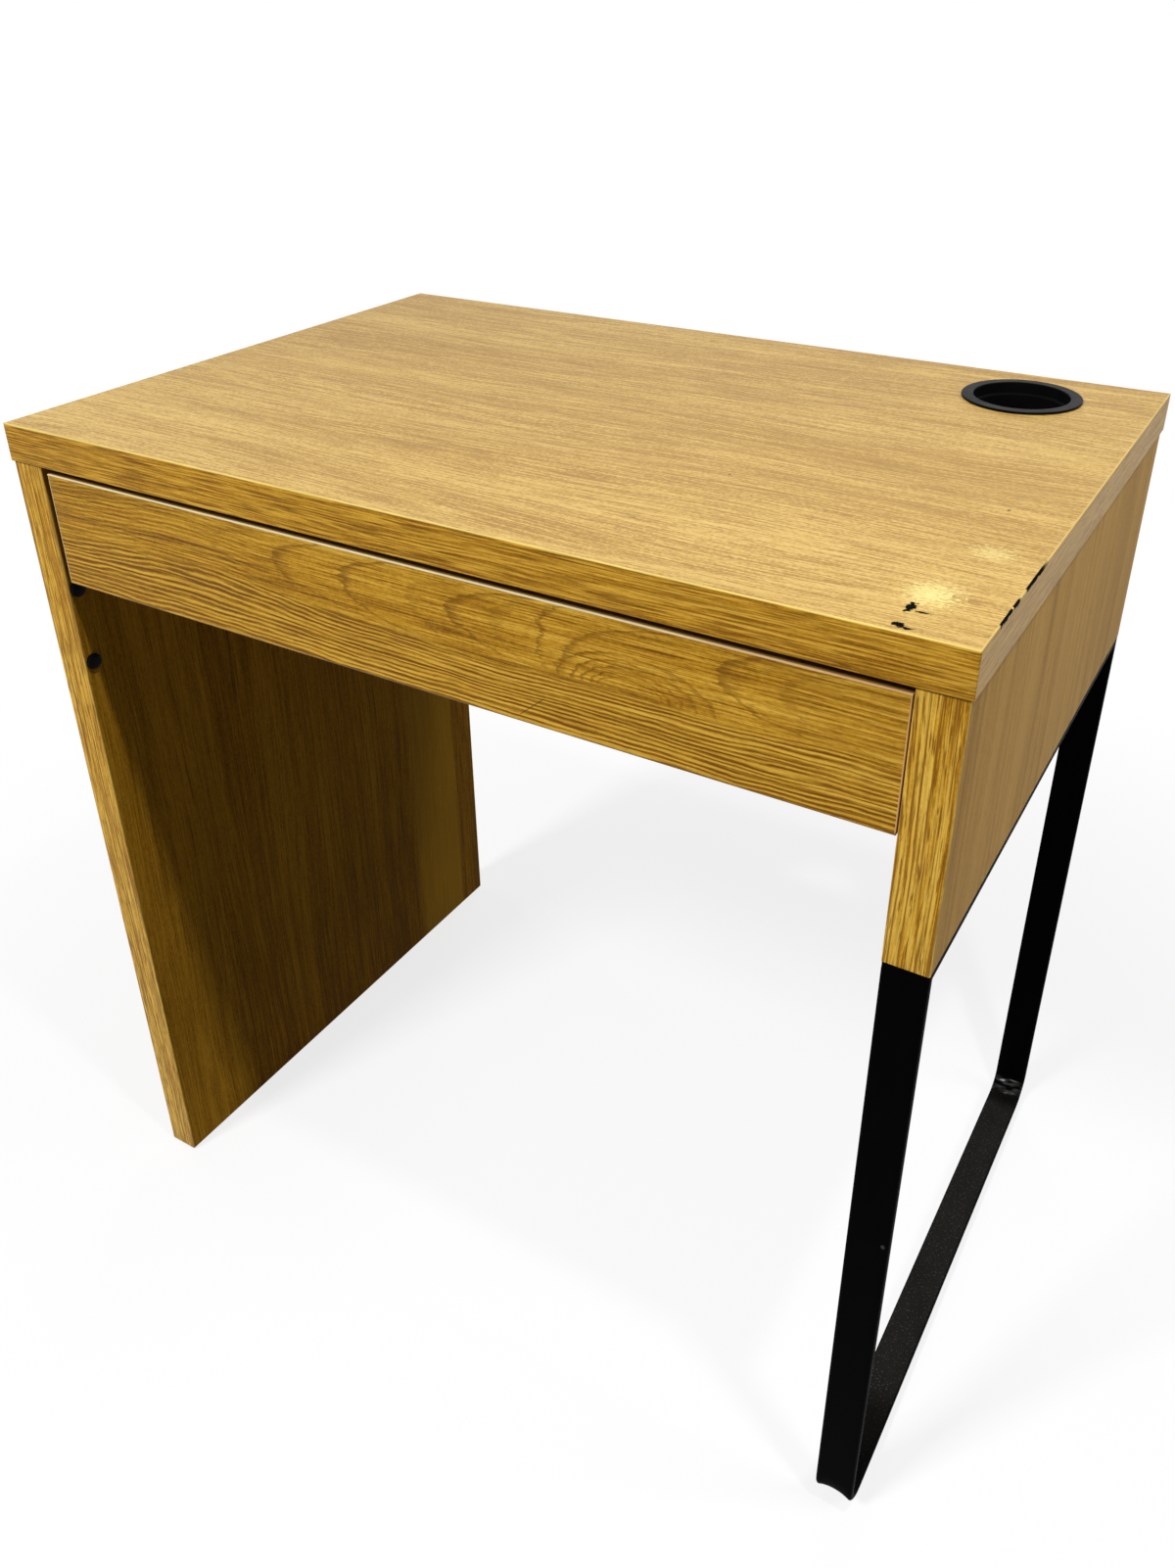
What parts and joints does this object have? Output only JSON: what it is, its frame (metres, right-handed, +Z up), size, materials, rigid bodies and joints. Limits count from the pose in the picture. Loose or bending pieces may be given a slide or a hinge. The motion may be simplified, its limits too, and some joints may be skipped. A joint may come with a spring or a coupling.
{
  "type": "office desk",
  "caption": "Small oak-effect desk with a shallow drawer under a thick top, a full side panel, a loop leg of bent flat steel tube under a short side panel, and a cable outlet.",
  "frame": {"origin": "on the floor, under the middle of the top", "axes": "+X to the right of someone who sits at the desk, -Y to the front, +Z up"},
  "size_m": [0.73, 0.5, 0.752],
  "materials": {
    "oak_board": "oak-effect laminate on chipboard, satin",
    "oak_edge": "oak-effect edge strip, satin",
    "pale_edge": "thin pale edge band",
    "drawer_board": "foil-covered fibreboard",
    "hardboard": "foil-faced hardboard",
    "black_plastic": "black moulded plastic, satin",
    "black_steel": "black powder coat",
    "black_screw": "blackened steel",
    "zinc_steel": "zinc-plated steel",
    "cast_zinc": "die-cast zinc",
    "beech": "plain beech"
  },
  "bodies": {
    "carcase": {"back_panel": "oak_board", "cable_outlet": "black_plastic", "cable_shelf": "oak_board", "cable_shelf_edge": "oak_edge", "cam_bolts": "zinc_steel", "cam_locks": "cast_zinc", "dowels": "beech", "hole_caps": "black_plastic", "left_panel": "oak_board", "left_panel_front_edge": "oak_edge", "left_panel_rear_edge": "oak_edge", "left_slide": "zinc_steel", "leg_glides": "black_plastic", "leg_inserts": "zinc_steel", "leg_loop": "black_steel", "leg_screws": "black_screw", "panel_glides": "black_plastic", "right_panel": "oak_board", "right_panel_bottom_edge": "oak_edge", "right_panel_front_edge": "oak_edge", "right_panel_rear_edge": "oak_edge", "right_slide": "zinc_steel", "slide_screws": "zinc_steel", "top_front_edge": "oak_edge", "top_left_edge": "oak_edge", "top_panel": "oak_board", "top_rear_edge": "oak_edge", "top_right_edge": "oak_edge"},
    "drawer": {"drawer_back": "drawer_board", "drawer_back_screws": "zinc_steel", "drawer_bottom": "hardboard", "drawer_cam_bolts": "zinc_steel", "drawer_cam_locks": "cast_zinc", "drawer_dowels": "beech", "drawer_front": "oak_board", "drawer_front_edges": "pale_edge", "drawer_left_side": "drawer_board", "drawer_left_slide": "zinc_steel", "drawer_right_side": "drawer_board", "drawer_right_slide": "zinc_steel", "drawer_slide_screws": "zinc_steel"}
  },
  "joints": [
    {"name": "drawer_slide", "type": "slide", "parent": "carcase", "child": "drawer", "axis": [0, -1, 0], "range_m": [0, 0.24]}
  ]
}
